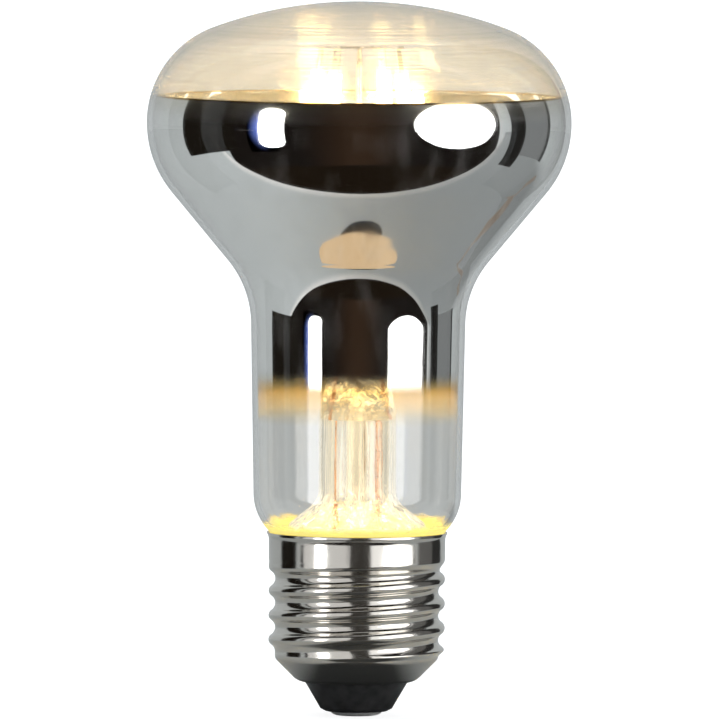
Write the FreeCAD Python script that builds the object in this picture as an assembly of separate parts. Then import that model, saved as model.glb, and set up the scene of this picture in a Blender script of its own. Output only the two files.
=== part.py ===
import FreeCAD, Part
import os
from math import asin, atan2, cos, pi, radians, sin, sqrt, tan
from FreeCAD import Vector

# Reflector lamp with a clear crown, a mirror lined cone and a 27 mm screw cap.
# Millimetres, +Z up along the lamp's axis, origin at the middle of the centre contact's face.
# In a radial half plane a point is (radius, height).

# Glass envelope, measured outside, from the cap upwards
bulb_radius = 31.5
neck_top_radius = 16.0
neck_foot_radius = 15.35
glass_wall = 0.8
foot_rise = 1.9
foot_round = 8.0
neck_length = 34.4
neck_round = 13.0
cone_rise = 18.65
belly_drop = 5.85
crown_height = 18.0
crown_radius = 62.0
seal_depth = 1.9
seal_length = 1.2
seal_round = 0.8

# Mirror lining inside the glass
mirror_above_widest = 4.1
mirror_below_cone = 19.5
mirror_film = 0.1
film_gap = 0.02

# Screw cap shell, rolled from thin sheet
cap_radius = 13.1
cap_sheet = 0.25
thread_pitch = 3.629
thread_depth = 0.97
crest_share = 0.42
thread_turns = 4
thread_run_out = 2.0
skirt_length = 3.1
rim_rise = 0.7
rim_flare = 0.35
rim_bend = 0.6
shell_cone_height = 3.7
shell_cone_inset = 3.43
shell_foot_round = 1.4
shell_cone_round = 0.8
lip_width = 1.5

# Insulator and centre contact
insulator_height = 4.35
insulator_step = 0.46
insulator_chamfer_width = 0.75
insulator_chamfer_height = 0.4
insulator_margin = 0.6
insulator_plug_height = 1.9
insulator_plug_overlap = 0.7
contact_radius = 4.0
contact_face_radius = 2.8
contact_height = 0.65
contact_wall = 0.3
contact_bulge_width = 0.6
contact_bulge_height = 0.35
rivet_radius = 1.5
rivet_bore = 1.1
rivet_head_width = 0.6
rivet_head_height = 0.4

# Cement between the glass and the shell
cement_thickness = 1.65
cement_under_seal = 0.4
cement_width = 4.35

# Stem, exhaust tube and wires
stem_radius = 5.75
stem_wall = 0.9
stem_height = 28.4
flare_rise = 7.4
flare_drop = 3.9
flare_round = 3.2
flare_edge_round = 1.4
press_height = 9.0
press_shoulder_drop = 2.0
press_edge = 0.6
press_half_thickness = 2.0
press_shoulder_swell = 0.5
press_neck_swell = 0.4
press_top_share = 0.8
exhaust_radius = 1.5
exhaust_bore = 0.9
exhaust_in_press = 1.5
exhaust_tip_gap = 3.5
exhaust_tip_height = 2.0
blow_hole_radius = 0.6
blow_hole_rise = 30.0
lead_offset = 3.3
lead_radius = 0.25
lead_azimuth = 15.0
lead_above_press = 3.0
lead_round = 2.0
support_radius = 0.4
support_in_press = 5.0

# Filaments and what holds them
filament_count = 4
filament_length = 30.0
filament_radius = 1.0
filament_azimuth = -30.0
filament_top_radius = 6.5
arm_to_neck_wall = 3.2
filament_tab_length = 4.25
arm_wire_radius = 0.35
arm_overhang = 1.5
star_to_crown = 5.2
star_hub_radius = 1.5
star_arm_width = 1.6
star_arm_overhang = 0.6
star_sheet = 0.4
tab_width = 1.2
tab_thickness = 0.3

# Driver in the cap
board_rise = 6.3
board_thickness = 1.0
board_gap = 0.15
chip_offset = 6.5
rectifier_length = 4.7
rectifier_width = 3.9
rectifier_height = 1.6
chip_length = 4.9
chip_width = 3.8
chip_height = 1.4
fuse_radius = 1.0
fuse_length = 4.0
fuse_leg_radius = 0.25
fuse_above_rivet = 1.2
component_gap = 0.6
capacitor_radius = 2.5
capacitor_length = 9.0
inductor_flange_radius = 2.5
inductor_waist_radius = 1.0
inductor_winding_radius = 2.1
inductor_height = 5.0
inductor_flange = 0.8
contact_solder_height = 0.9
shell_wire_radius = 0.2
shell_wire_edge = 0.9
shell_wire_azimuth = 100.0
shell_wire_round = 0.8
shell_solder_radius = 0.4
shell_solder_depth = 0.5

# Heights, stacked from the contact's face
thread_length = (thread_turns - 0.5) * thread_pitch + thread_run_out
shell_foot = contact_height + insulator_height
thread_foot = shell_foot + shell_cone_height
thread_top = thread_foot + thread_length
skirt_top = thread_top + skirt_length
rim_top = skirt_top + rim_rise
seal_foot = skirt_top - seal_depth
seal_top = seal_foot + seal_length
foot_corner = rim_top + foot_rise
neck_corner = foot_corner + neck_length
belly_corner = neck_corner + cone_rise
widest = belly_corner + belly_drop
crown_top = widest + crown_height
board_foot = thread_foot + board_rise
board_top = board_foot + board_thickness
press_top = seal_foot + stem_height
press_foot = press_top - press_height
star_foot = crown_top - glass_wall - star_to_crown - star_sheet

# Radii that follow from the fits
shell_bore = cap_radius - cap_sheet
thread_root = cap_radius - thread_depth
seal_radius = shell_bore - cement_thickness
shell_end_radius = thread_root - shell_cone_inset
lip_radius = shell_end_radius - lip_width
board_radius = thread_root - cap_sheet - board_gap
arm_circle = neck_top_radius - glass_wall - arm_to_neck_wall

# The arms stand as far below the star as a filament with its two tabs reaches
filament_reach = filament_length + 2 * filament_tab_length
filament_rise = sqrt(filament_reach**2 - (arm_circle - filament_top_radius) ** 2)
arm_height = star_foot + star_sheet / 2 - filament_rise

full_turn = 360.0
smallest_step = 1e-6
cut_overshoot = 1.0
axis = Vector(0, 0, 1)
origin = Vector(0, 0, 0)


def at(radius, height):
    return Vector(radius, 0, height)


def arc(centre, radius, start, end):
    """An arc in the half plane, between two angles in degrees."""
    angles = (start, (start + end) / 2, end)
    points = [at(centre.x + radius * cos(radians(a)), centre.z + radius * sin(radians(a))) for a in angles]
    return Part.Arc(*points).toShape()


def line(a, b):
    return Part.makeLine(a, b)


def crossing(a, along_a, b, along_b):
    """Where two lines of the half plane cross."""
    cross = along_a.x * along_b.z - along_a.z * along_b.x
    gap = b - a
    return a + along_a * ((gap.x * along_b.z - gap.z * along_b.x) / cross)


def offset_corners(corners, inset):
    """The corners of a bent wall's other face, which lies inset to the right of the way the line runs."""
    rows = []
    for i in range(len(corners) - 1):
        along = (corners[i + 1][0] - corners[i][0]).normalize()
        rows.append((corners[i][0] + Vector(along.z, 0, -along.x) * inset, along))
    last_shift = Vector(rows[-1][1].z, 0, -rows[-1][1].x) * inset
    moved = [(rows[0][0], 0)]
    for i in range(1, len(rows)):
        before, after = rows[i - 1][1], rows[i][1]
        turn = before.x * after.z - before.z * after.x
        round_now = max(corners[i][1] + (inset if turn > 0 else -inset), 0)
        moved.append((crossing(rows[i - 1][0], before, rows[i][0], after), round_now))
    moved.append((corners[-1][0] + last_shift, 0))
    return moved


def rounded_path(corners):
    """Straight runs joined by tangent arcs. A corner is (point, radius of its arc)."""
    edges = []
    here = corners[0][0]
    for i in range(1, len(corners) - 1):
        point, bend = corners[i]
        before = (point - corners[i - 1][0]).normalize()
        after = (corners[i + 1][0] - point).normalize()
        half_turn = before.getAngle(after) / 2
        reach = bend * tan(half_turn)
        start = point - before * reach
        end = point + after * reach
        if here.distanceToPoint(start) > smallest_step:
            edges.append(line(here, start))
        if bend > 0:
            inward = (after - before).normalize()
            middle = point + inward * (bend / cos(half_turn) - bend)
            edges.append(Part.Arc(start, middle, end).toShape())
        here = end
    edges.append(line(here, corners[-1][0]))
    return edges


def first_point(edges):
    return Part.Wire(edges).OrderedVertexes[0].Point


def last_point(edges):
    return Part.Wire(edges).OrderedVertexes[-1].Point


def turned(edges):
    """The solid swept by a closed half outline turned once about the axis."""
    face = Part.Face(Part.Wire(Part.__sortEdges__(edges)))
    return face.revolve(origin, axis, full_turn)


def turned_polygon(points):
    closed = points + points[:1]
    return turned([line(a, b) for a, b in zip(closed, closed[1:])])


def turned_wall(outside, inside):
    """A turned wall between two open half outlines that run the same way."""
    ends = []
    for pick in (first_point, last_point):
        a, b = pick(outside), pick(inside)
        if a.distanceToPoint(b) > smallest_step:
            ends.append(line(a, b))
    return turned(outside + inside + ends)


def cylinder(radius, low, high):
    return Part.makeCylinder(radius, high - low, at(0, low), axis)


def swept_wire(corners, radius, azimuth):
    """Round wire bent in the half plane at an azimuth."""
    path = Part.Wire(rounded_path(corners))
    start = corners[0][0]
    along = corners[1][0] - start
    section = Part.Wire(Part.makeCircle(radius, start, along))
    wire = path.makePipeShell([section], True, False)
    wire.rotate(origin, axis, azimuth)
    return wire


def stood_up(solid, azimuth):
    solid.rotate(origin, axis, azimuth)
    return solid


# Glass envelope


def cone_slope():
    """Angle between the cone and the axis, in radians."""
    return atan2(bulb_radius - neck_top_radius, cone_rise)


def envelope_outline(inset):
    """Half outline from the crown's middle down to the seal, inset from the outer face."""
    crown_centre = at(0, crown_top - crown_radius)
    below_centre = crown_radius - crown_height
    shoulder_round = crown_radius**2 - bulb_radius**2 - below_centre**2
    shoulder_round = shoulder_round / (2 * (crown_radius - bulb_radius))
    shoulder_centre = at(bulb_radius - shoulder_round, widest)
    to_shoulder = shoulder_centre - crown_centre
    meet = atan2(to_shoulder.z, to_shoulder.x) * 180 / pi
    crown = arc(crown_centre, crown_radius - inset, 90, meet)
    shoulder = arc(shoulder_centre, shoulder_round - inset, meet, 0)
    belly_round = belly_drop / tan(cone_slope() / 2)
    corners = [
        (at(bulb_radius, widest), 0),
        (at(bulb_radius, belly_corner), belly_round),
        (at(neck_top_radius, neck_corner), neck_round),
        (at(neck_foot_radius, foot_corner), foot_round),
        (at(seal_radius, seal_top), seal_round),
        (at(seal_radius, seal_foot), 0),
    ]
    return [crown, shoulder] + rounded_path(offset_corners(corners, inset))


def glass_envelope():
    return turned_wall(envelope_outline(0), envelope_outline(glass_wall))


def mirror_lining():
    """Thin film inside the glass, from just above the widest ring to the middle of the neck."""
    outer = glass_wall + film_gap
    film = turned_wall(envelope_outline(outer), envelope_outline(outer + mirror_film))
    low = neck_corner - mirror_below_cone
    high = widest + mirror_above_widest
    return film.common(cylinder(bulb_radius, low, high))


# Screw cap


def thread_outline(inset):
    """The rolled wall from the shell's foot up to the skirt, in tangent arcs.

    The sheet's inner face has the same centres as its outer face, so the wall is even.
    """
    half_pitch = thread_pitch / 2
    both = (half_pitch**2 + thread_depth**2) / (2 * thread_depth)
    crest_round = crest_share * both
    root_round = both - crest_round
    flank = asin(half_pitch / both) * 180 / pi
    root = thread_top - thread_length + thread_run_out
    edges = [line(at(thread_root - inset, thread_foot), at(thread_root - inset, root))]
    for groove in range(thread_turns):
        root_centre = at(thread_root + root_round, root)
        crest_centre = at(cap_radius - crest_round, root + half_pitch)
        last = groove == thread_turns - 1
        edges.append(arc(root_centre, root_round + inset, 180 if groove == 0 else 180 + flank, 180 - flank))
        edges.append(arc(crest_centre, crest_round - inset, -flank, 0 if last else flank))
        root += thread_pitch
    return edges


def skirt_outline(inset):
    """From the thread's top up the plain skirt to the flared rim, which ends level."""
    rim = at(cap_radius + rim_flare, rim_top)
    corners = [
        (at(cap_radius, thread_top), 0),
        (at(cap_radius, skirt_top), rim_bend),
        (rim, 0),
    ]
    moved = offset_corners(corners, -inset)
    flare = rim - corners[1][0]
    moved[-1] = (crossing(moved[-1][0], flare, at(0, rim_top), at(1, 0)), 0)
    return rounded_path(moved)


def shell_foot_outline(inset):
    """From the thread's foot down the cone and inwards to the lip that holds the insulator."""
    corners = [
        (at(thread_root, thread_foot), 0),
        (at(thread_root, thread_foot - shell_cone_height + shell_cone_inset), shell_cone_round),
        (at(shell_end_radius, shell_foot), shell_foot_round),
        (at(lip_radius, shell_foot), 0),
    ]
    return rounded_path(offset_corners(corners, inset))


def cap_shell():
    """One sheet from the lip round the insulator over the cone and the thread to the flared rim."""
    edges = []
    for inset in (0, cap_sheet):
        edges += shell_foot_outline(inset) + thread_outline(inset) + skirt_outline(inset)
    for outline in (shell_foot_outline, skirt_outline):
        edges.append(line(last_point(outline(0)), last_point(outline(cap_sheet))))
    return turned(edges)


def cap_insulator():
    foot_radius = contact_radius + insulator_margin
    plug_radius = lip_radius + insulator_plug_overlap
    inside = shell_foot + cap_sheet
    return turned_polygon([
        at(rivet_radius, contact_height),
        at(foot_radius, contact_height),
        at(foot_radius + insulator_chamfer_width, contact_height + insulator_chamfer_height),
        at(lip_radius + insulator_step, shell_foot),
        at(lip_radius, shell_foot),
        at(lip_radius, inside),
        at(plug_radius, inside),
        at(plug_radius, inside + insulator_plug_height),
        at(rivet_radius, inside + insulator_plug_height),
    ])


def rivet_top():
    return shell_foot + cap_sheet + insulator_plug_height


def centre_contact():
    """Low domed disc with a hollow rivet that is spread over the insulator inside."""
    edge_low = at(contact_face_radius, 0)
    edge_high = at(contact_radius, contact_height)
    bulge = at(
        contact_face_radius + (contact_radius - contact_face_radius) * contact_bulge_width,
        contact_height * contact_bulge_height,
    )
    head = rivet_radius + rivet_head_width
    seat = rivet_top()
    points = [
        edge_high,
        at(rivet_radius, contact_height),
        at(rivet_radius, seat),
        at(head, seat),
        at(head, seat + rivet_head_height),
        at(rivet_bore, seat + rivet_head_height),
        at(rivet_bore, contact_wall),
        at(0, contact_wall),
        origin,
        edge_low,
    ]
    edges = [line(a, b) for a, b in zip(points, points[1:])]
    edges.append(Part.Arc(edge_low, bulge, edge_high).toShape())
    return turned(edges)


def cap_cement():
    """Ring that fills the skirt around and under the glass seal."""
    low = seal_foot - cement_under_seal
    block = turned_polygon([
        at(shell_bore - cement_width, low),
        at(shell_bore, low),
        at(shell_bore, skirt_top),
        at(seal_radius - glass_wall, skirt_top),
        at(seal_radius - glass_wall, seal_foot),
        at(shell_bore - cement_width, seal_foot),
    ])
    envelope = turned(envelope_outline(0) + [
        line(last_point(envelope_outline(0)), at(0, seal_foot)),
        line(at(0, seal_foot), at(0, crown_top)),
    ])
    return block.cut(envelope)


# Stem and exhaust tube


def flare_corners():
    seal_bore = seal_radius - glass_wall
    return [
        (at(stem_radius, press_foot), 0),
        (at(stem_radius, seal_foot + flare_rise), flare_round),
        (at(seal_bore, seal_foot + flare_rise - flare_drop), flare_edge_round),
        (at(seal_bore, seal_foot), 0),
    ]


def ellipse_wire(half_width, half_thickness, height):
    """A flattened section of the pressed stem, wide along X."""
    if abs(half_width - half_thickness) < smallest_step:
        return Part.Wire(Part.makeCircle(half_width, at(0, height), axis))
    ellipse = Part.Ellipse(
        at(half_width, height), Vector(0, half_thickness, height), at(0, height)
    )
    return Part.Wire(ellipse.toShape())


def pressed_top():
    """The tube's end pressed flat while hot, so it narrows to a wedge round the wires."""
    top_half_width = lead_offset + press_edge
    middle_half_width = (stem_radius + top_half_width) / 2 + press_shoulder_swell
    shoulder = press_foot + (press_height - press_shoulder_drop) / 2
    near_top = press_top - press_shoulder_drop
    sections = [
        ellipse_wire(stem_radius, stem_radius, press_foot),
        ellipse_wire(middle_half_width, (stem_radius + press_half_thickness) / 2, shoulder),
        ellipse_wire(top_half_width + press_neck_swell, press_half_thickness, near_top),
        ellipse_wire(top_half_width, press_half_thickness * press_top_share, press_top),
    ]
    return stood_up(Part.makeLoft(sections, True, False), lead_azimuth)


def blow_hole():
    """The passage from the exhaust tube through the press into the bulb."""
    reach = 2 * stem_radius
    start = at(0, press_foot + exhaust_in_press - blow_hole_radius)
    away = Vector(0, cos(radians(blow_hole_rise)), sin(radians(blow_hole_rise)))
    hole = Part.makeCylinder(blow_hole_radius, reach, start, away)
    return stood_up(hole, lead_azimuth)


def exhaust_tube():
    """Glass tube from the press down the stem to its melted tip above the board."""
    top = press_foot + exhaust_in_press
    tip = board_top + exhaust_tip_gap
    shoulder = tip + exhaust_tip_height
    wall = exhaust_radius - exhaust_bore
    outside = [
        at(0, tip),
        at(wall, tip),
        at(exhaust_radius, shoulder),
        at(exhaust_radius, top),
        at(exhaust_bore, top),
        at(exhaust_bore, shoulder + wall),
        at(0, shoulder),
    ]
    return turned_polygon(outside)


def support_wire():
    return cylinder(support_radius, press_top - support_in_press, star_foot)


def lead_wire(side):
    """From the board up through the press, then out to the wire that carries two filaments."""
    corners = [
        (at(lead_offset, board_top), 0),
        (at(lead_offset, press_top + lead_above_press), lead_round),
        (at(arm_circle, arm_height), 0),
    ]
    wire = swept_wire(corners, lead_radius, lead_azimuth + side * 180)
    return wire.cut(filament_arm(side))


def stem_glass():
    outside = rounded_path(flare_corners())
    inside = rounded_path(offset_corners(flare_corners(), stem_wall))
    tube = turned_wall(outside, inside)
    stem = tube.fuse(pressed_top()).removeSplitter()
    top = press_foot + exhaust_in_press
    stem = stem.cut(cylinder(exhaust_radius, press_foot - cut_overshoot, top)).cut(blow_hole())
    stem = stem.cut(cylinder(support_radius, press_top - support_in_press, press_top + cut_overshoot))
    for side in range(2):
        hole = cylinder(lead_radius, press_foot - cut_overshoot, press_top + cut_overshoot)
        hole.translate(at(lead_offset, 0))
        stem = stem.cut(stood_up(hole, lead_azimuth + side * 180))
    return stem


# Filaments


def filament_arm(side):
    """Curved wire across the end of a lead, to which two filaments are welded."""
    edge = Part.makeCircle(arm_wire_radius, at(arm_circle, arm_height), Vector(0, 1, 0))
    section = Part.Face(Part.Wire(edge))
    overhang = arm_overhang / arm_circle * 180 / pi
    spread = full_turn / filament_count + 2 * overhang
    arm = section.revolve(origin, axis, spread)
    return stood_up(arm, lead_azimuth + side * 180 - spread / 2)


def filament_axis():
    """Foot of a filament's axis on its arm, and the axis's direction up to the star."""
    foot = at(arm_circle, arm_height)
    head = at(filament_top_radius, star_foot + star_sheet / 2)
    return foot, (head - foot).normalize()


def filament_turn(index):
    return filament_azimuth + index * full_turn / filament_count


def filament_rod(index):
    foot, along = filament_axis()
    start = foot + along * filament_tab_length
    return stood_up(Part.makeCylinder(filament_radius, filament_length, start, along), filament_turn(index))


def tab_strip(start, along, length):
    """Flat metal strip along a filament's axis, as wide as the ring's tangent."""
    across = Vector(0, 1, 0)
    inward = along.cross(across)
    corner = start - across * (tab_width / 2) - inward * (tab_thickness / 2)
    strip = Part.Face(Part.makePolygon([
        corner,
        corner + across * tab_width,
        corner + across * tab_width + inward * tab_thickness,
        corner + inward * tab_thickness,
        corner,
    ]))
    return strip.extrude(along * length)


def arm_side(index):
    """The lead whose arm carries a filament."""
    turn = (filament_turn(index) - lead_azimuth) % full_turn
    return 0 if turn < full_turn / 4 or turn > full_turn * 3 / 4 else 1


def filament_bottom_tab(index):
    foot, along = filament_axis()
    strip = stood_up(tab_strip(foot, along, filament_tab_length), filament_turn(index))
    return strip.cut(filament_arm(arm_side(index)))


def filament_top_tab(index):
    foot, along = filament_axis()
    start = foot + along * (filament_tab_length + filament_length)
    strip = stood_up(tab_strip(start, along, filament_tab_length), filament_turn(index))
    return strip.cut(top_star())


def top_star():
    """Stamped sheet on the support wire that joins the filaments' upper ends."""
    star = cylinder(star_hub_radius, star_foot, star_foot + star_sheet)
    reach = filament_top_radius + star_arm_overhang
    for index in range(filament_count):
        arm = Part.makeBox(reach, star_arm_width, star_sheet, Vector(0, -star_arm_width / 2, star_foot))
        star = star.fuse(stood_up(arm, filament_turn(index)))
    return star.removeSplitter()


# Driver in the cap


def driver_board():
    return cylinder(board_radius, board_foot, board_top)


def block_on_board(length, width, height, offset):
    return Part.makeBox(length, width, height, Vector(-length / 2, offset - width / 2, board_top))


def bridge_rectifier():
    return block_on_board(rectifier_length, rectifier_width, rectifier_height, chip_offset)


def driver_chip():
    return block_on_board(chip_length, chip_width, chip_height, -chip_offset)


def smoothing_capacitor():
    """Can that lies along X under the board."""
    beside = fuse_radius + component_gap + capacitor_radius
    start = Vector(-capacitor_length / 2, beside, board_foot - capacitor_radius)
    return Part.makeCylinder(capacitor_radius, capacitor_length, start, Vector(1, 0, 0))


def inductor_place():
    return Vector(0, -fuse_radius - component_gap - inductor_flange_radius, board_foot - inductor_height)


def inductor_core():
    """Ferrite bobbin that stands under the board."""
    top = inductor_height - inductor_flange
    core = turned_polygon([
        origin,
        at(inductor_flange_radius, 0),
        at(inductor_flange_radius, inductor_flange),
        at(inductor_waist_radius, inductor_flange),
        at(inductor_waist_radius, top),
        at(inductor_flange_radius, top),
        at(inductor_flange_radius, inductor_height),
        at(0, inductor_height),
    ])
    core.translate(inductor_place())
    return core


def inductor_winding():
    top = inductor_height - inductor_flange
    winding = cylinder(inductor_winding_radius, inductor_flange, top)
    winding = winding.cut(cylinder(inductor_waist_radius, inductor_flange, top))
    winding.translate(inductor_place())
    return winding


def fuse_resistor():
    """Resistor that stands between board and contact, with its legs."""
    low = rivet_top() + rivet_head_height + fuse_above_rivet
    high = low + fuse_length
    leg_foot = contact_wall + contact_solder_height / 2
    legs = cylinder(fuse_leg_radius, leg_foot, board_foot)
    return cylinder(fuse_radius, low, high).fuse(legs).removeSplitter()


def contact_solder():
    solder = cylinder(rivet_bore, contact_wall, contact_wall + contact_solder_height)
    return solder.cut(fuse_resistor())


def shell_wire_height():
    return thread_top + shell_solder_radius


def shell_wire():
    """From the board's edge up to the shell's skirt under the cement."""
    corners = [
        (at(board_radius - shell_wire_edge, board_top), 0),
        (at(board_radius - shell_wire_edge, shell_wire_height()), shell_wire_round),
        (at(shell_bore - shell_solder_depth / 2, shell_wire_height()), 0),
    ]
    return swept_wire(corners, shell_wire_radius, shell_wire_azimuth)


def shell_solder():
    """Dot of solder on the skirt's inner face."""
    start = at(shell_bore - shell_solder_depth, shell_wire_height())
    dot = Part.makeCylinder(shell_solder_radius, shell_solder_depth, start, Vector(1, 0, 0))
    dot = dot.common(cylinder(shell_bore, thread_top, skirt_top))
    return stood_up(dot, shell_wire_azimuth).cut(shell_wire())


def lamp():
    pieces = {
        "glass_envelope": glass_envelope(),
        "mirror_lining": mirror_lining(),
        "stem_glass": stem_glass(),
        "exhaust_tube": exhaust_tube(),
        "support_wire": support_wire(),
        "top_star": top_star(),
        "cap_shell": cap_shell(),
        "cap_cement": cap_cement(),
        "cap_insulator": cap_insulator(),
        "centre_contact": centre_contact(),
        "driver_board": driver_board(),
        "bridge_rectifier": bridge_rectifier(),
        "driver_chip": driver_chip(),
        "smoothing_capacitor": smoothing_capacitor(),
        "inductor_core": inductor_core(),
        "inductor_winding": inductor_winding(),
        "fuse_resistor": fuse_resistor(),
        "contact_solder": contact_solder(),
        "shell_wire": shell_wire(),
        "shell_solder": shell_solder(),
    }
    for side, name in enumerate(("right", "left")):
        pieces["lead_wire_" + name] = lead_wire(side)
        pieces["filament_arm_" + name] = filament_arm(side)
    for index in range(filament_count):
        number = str(index + 1)
        pieces["filament_" + number] = filament_rod(index)
        pieces["filament_top_tab_" + number] = filament_top_tab(index)
        pieces["filament_bottom_tab_" + number] = filament_bottom_tab(index)
    return pieces


os.makedirs("parts", exist_ok=True)
for name, piece in lamp().items():
    piece.exportStep("parts/" + name + ".step")
    print(name, len(piece.Solids), round(piece.Volume, 3), piece.isValid())
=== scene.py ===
import math

import bmesh
import bpy
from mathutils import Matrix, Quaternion, Vector


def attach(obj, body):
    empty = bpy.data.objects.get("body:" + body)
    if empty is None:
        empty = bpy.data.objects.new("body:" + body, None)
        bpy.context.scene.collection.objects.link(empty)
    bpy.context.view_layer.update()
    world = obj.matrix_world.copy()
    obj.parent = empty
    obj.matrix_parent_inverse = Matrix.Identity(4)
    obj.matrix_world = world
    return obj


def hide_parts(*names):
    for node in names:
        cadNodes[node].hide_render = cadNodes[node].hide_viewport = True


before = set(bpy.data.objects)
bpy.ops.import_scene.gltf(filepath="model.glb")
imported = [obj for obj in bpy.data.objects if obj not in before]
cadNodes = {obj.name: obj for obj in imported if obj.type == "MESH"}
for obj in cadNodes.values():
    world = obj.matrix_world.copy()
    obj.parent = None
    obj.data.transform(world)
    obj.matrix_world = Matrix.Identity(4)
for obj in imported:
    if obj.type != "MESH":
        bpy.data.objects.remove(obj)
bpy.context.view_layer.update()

mm = 0.001
fullTurn = 2 * math.pi
onePoint = 1e-6  # metres within which two points are taken as one
onPlane = 1e-7  # metres within which a point lies on a cutting plane
inLine = 1e-9  # sine of an angle too small to make a corner
bounced = 0.5  # parts a ray that has bounced from one that hasn't, since depths are whole numbers
print(f"frame loaded with {len(cadNodes)} pieces")


# camera: a long lens, a little above the lamp, level with the photograph's view

cameraPlace = {
    "distance": 2.5,
    "height": 0.195,
    "aimAcross": 0.0003,
    "aimHeight": 0.0528,
    "lens": 844.0,
    "sensor": 36.0,
    "rollDegrees": 0.3,
    "clip": (0.1, 12.0),
}


def setCamera(place):
    data = bpy.data.cameras.new("lampCamera")
    data.lens = place["lens"]
    data.sensor_width = place["sensor"]
    data.clip_start, data.clip_end = place["clip"]
    camera = bpy.data.objects.new("lampCamera", data)
    bpy.context.scene.collection.objects.link(camera)
    aim = Vector((place["aimAcross"], 0, place["aimHeight"]))
    camera.location = (place["aimAcross"], -place["distance"], place["height"])
    facing = (aim - camera.location).to_track_quat("-Z", "Y")
    roll = Quaternion((0, 0, 1), math.radians(place["rollDegrees"]))
    camera.rotation_mode = "QUATERNION"
    camera.rotation_quaternion = facing @ roll
    bpy.context.scene.camera = camera


setCamera(cameraPlace)
bpy.context.scene.view_settings.view_transform = "Standard"
print("camera set")


# materials: the part of a noise's values that the finishes spread from one end of a look to the other

grain = {"noiseSpread": (0.3, 0.7)}


def newFinish(name, settings):
    material = bpy.data.materials.new(name)
    material.use_nodes = True
    shader = material.node_tree.nodes["Principled BSDF"]
    for socket, value in settings.items():
        shader.inputs[socket].default_value = value
    return material


def addNode(material, kind, settings=None, inputs=None):
    node = material.node_tree.nodes.new(kind)
    for name, value in (settings or {}).items():
        setattr(node, name, value)
    for name, value in (inputs or {}).items():
        node.inputs[name].default_value = value
    return node


def joinSockets(material, start, end):
    material.node_tree.links.new(start, end)


def feedSocket(material, value, socket):
    # a value is set on the socket, and another socket is joined to it
    if isinstance(value, bpy.types.NodeSocket):
        joinSockets(material, value, socket)
    else:
        socket.default_value = value


def mathNode(material, operation, first, second=0.0):
    node = addNode(material, "ShaderNodeMath", {"operation": operation})
    feedSocket(material, first, node.inputs[0])
    feedSocket(material, second, node.inputs[1])
    return node.outputs[0]


def rangeNode(material, value, source, target=(0.0, 1.0), smooth=False):
    # the value's place in the source range is carried over to the target range
    kind = "SMOOTHSTEP" if smooth else "LINEAR"
    node = addNode(material, "ShaderNodeMapRange", {"interpolation_type": kind}, {
        "From Min": source[0], "From Max": source[1], "To Min": target[0], "To Max": target[1]})
    joinSockets(material, value, node.inputs["Value"])
    return node.outputs["Result"]


def mixNode(material, kind, share, first, second):
    # the first where share is 0 and the second where it is 1
    node = addNode(material, "ShaderNodeMix", {"data_type": kind})
    joinSockets(material, share, node.inputs["Factor"])
    feedSocket(material, first, node.inputs["A"])
    feedSocket(material, second, node.inputs["B"])
    return node.outputs["Result"]


def bumpNode(material, height, distance, strength=1.0):
    node = addNode(material, "ShaderNodeBump", inputs={"Distance": distance})
    feedSocket(material, strength, node.inputs["Strength"])
    joinSockets(material, height, node.inputs["Height"])
    return node.outputs["Normal"]


def lengthOf(material, vector):
    node = addNode(material, "ShaderNodeVectorMath", {"operation": "LENGTH"})
    joinSockets(material, vector, node.inputs[0])
    return node.outputs["Value"]


def objectPlace(material):
    return addNode(material, "ShaderNodeTexCoord").outputs["Object"]


def objectParts(material):
    parts = addNode(material, "ShaderNodeSeparateXYZ")
    joinSockets(material, objectPlace(material), parts.inputs["Vector"])
    return parts.outputs


def showSurface(material, shader):
    joinSockets(material, shader, material.node_tree.nodes["Material Output"].inputs["Surface"])


def shaderOf(material):
    return material.node_tree.nodes["Principled BSDF"]


def addNoise(material, scale, detail=4.0, stretch=(1, 1, 1)):
    placing = addNode(material, "ShaderNodeMapping", inputs={"Scale": stretch})
    noise = addNode(material, "ShaderNodeTexNoise", inputs={"Scale": scale, "Detail": detail})
    joinSockets(material, objectPlace(material), placing.inputs["Vector"])
    joinSockets(material, placing.outputs["Vector"], noise.inputs["Vector"])
    return noise


def varyRoughness(material, noise, low, high):
    spread = rangeNode(material, noise.outputs["Fac"], grain["noiseSpread"], (low, high))
    joinSockets(material, spread, shaderOf(material).inputs["Roughness"])


def varyColour(material, noise, dark, light):
    ramp = addNode(material, "ShaderNodeValToRGB")
    for stop, place, colour in zip(ramp.color_ramp.elements, grain["noiseSpread"], (dark, light)):
        stop.position = place
        stop.color = (*colour, 1)
    joinSockets(material, noise.outputs["Fac"], ramp.inputs["Fac"])
    joinSockets(material, ramp.outputs["Color"], shaderOf(material).inputs["Base Color"])


def raiseGrain(material, noise, height):
    normal = bumpNode(material, noise.outputs["Fac"], height)
    joinSockets(material, normal, shaderOf(material).inputs["Normal"])


def grainedFinish(name, settings, look):
    material = newFinish(name, settings)
    noise = addNoise(material, look["scale"])
    varyRoughness(material, noise, *look["roughness"])
    varyColour(material, noise, *look["colours"])
    raiseGrain(material, noise, look["height"])
    return material


def coatNode(name, material):
    for place in cadNodes[name].material_slots:
        place.material = material


# the pen: a half outline in the plane of radius and height, spun round the lamp's axis

def startLine(bm, point):
    return bm.verts.new((point[0], 0, point[1]))


def lineTo(bm, last, point):
    new = bmesh.ops.extrude_vert_indiv(bm, verts=[last])["verts"][0]
    new.co = (point[0], 0, point[1])
    return new


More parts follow.
